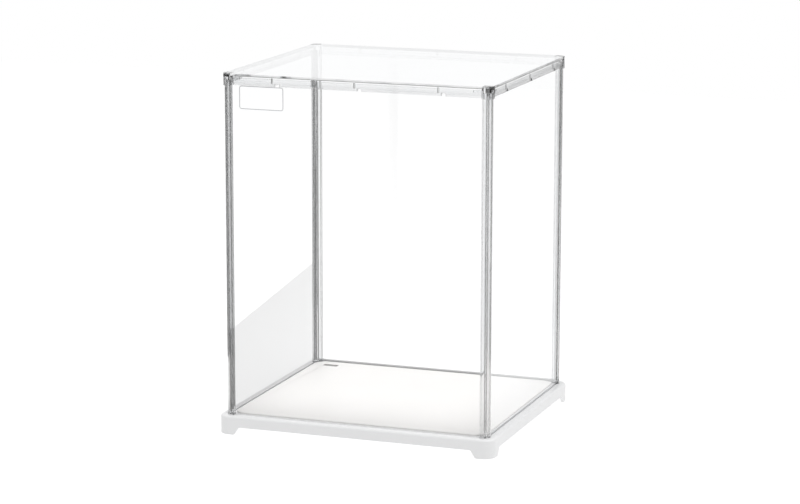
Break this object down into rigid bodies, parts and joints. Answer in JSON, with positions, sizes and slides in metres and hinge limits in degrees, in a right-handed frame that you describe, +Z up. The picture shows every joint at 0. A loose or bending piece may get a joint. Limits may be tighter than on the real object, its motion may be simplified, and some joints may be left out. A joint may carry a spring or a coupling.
{
  "type": "display case",
  "caption": "Upright clear display case: footed white tray with a rear cable slot, clear side sheets held in rounded corner posts, and a lift-off clear lid.",
  "frame": {"origin": "middle of the footprint, on the surface the feet stand on", "axes": "+Z up, front of the case towards -Y, width along X"},
  "size_m": [0.25, 0.222, 0.314],
  "materials": {
    "white_plastic": "satin moulded white plastic",
    "floor_white": "matte warm white board",
    "clear_sheet": "clear polished acrylic sheet",
    "clear_moulding": "clear moulded plastic"
  },
  "bodies": {
    "base": {"base_tray": "white_plastic", "floor_board": "floor_white"},
    "cover": {"front_panel": "clear_sheet", "right_panel": "clear_sheet", "back_panel": "clear_sheet", "left_panel": "clear_sheet", "post_front_left": "clear_moulding", "post_front_right": "clear_moulding", "post_back_right": "clear_moulding", "post_back_left": "clear_moulding"},
    "lid": {"top_panel": "clear_sheet", "rail_front": "clear_moulding", "rail_right": "clear_moulding", "rail_back": "clear_moulding", "rail_left": "clear_moulding", "corner_cap_front_left": "clear_moulding", "corner_cap_front_right": "clear_moulding", "corner_cap_back_right": "clear_moulding", "corner_cap_back_left": "clear_moulding"}
  },
  "joints": [
    {"name": "cover_lift", "type": "slide", "parent": "base", "child": "cover", "axis": [0, 0, 1], "range_m": [0, 0.06]},
    {"name": "lid_lift", "type": "slide", "parent": "cover", "child": "lid", "axis": [0, 0, 1], "range_m": [0, 0.03]}
  ]
}
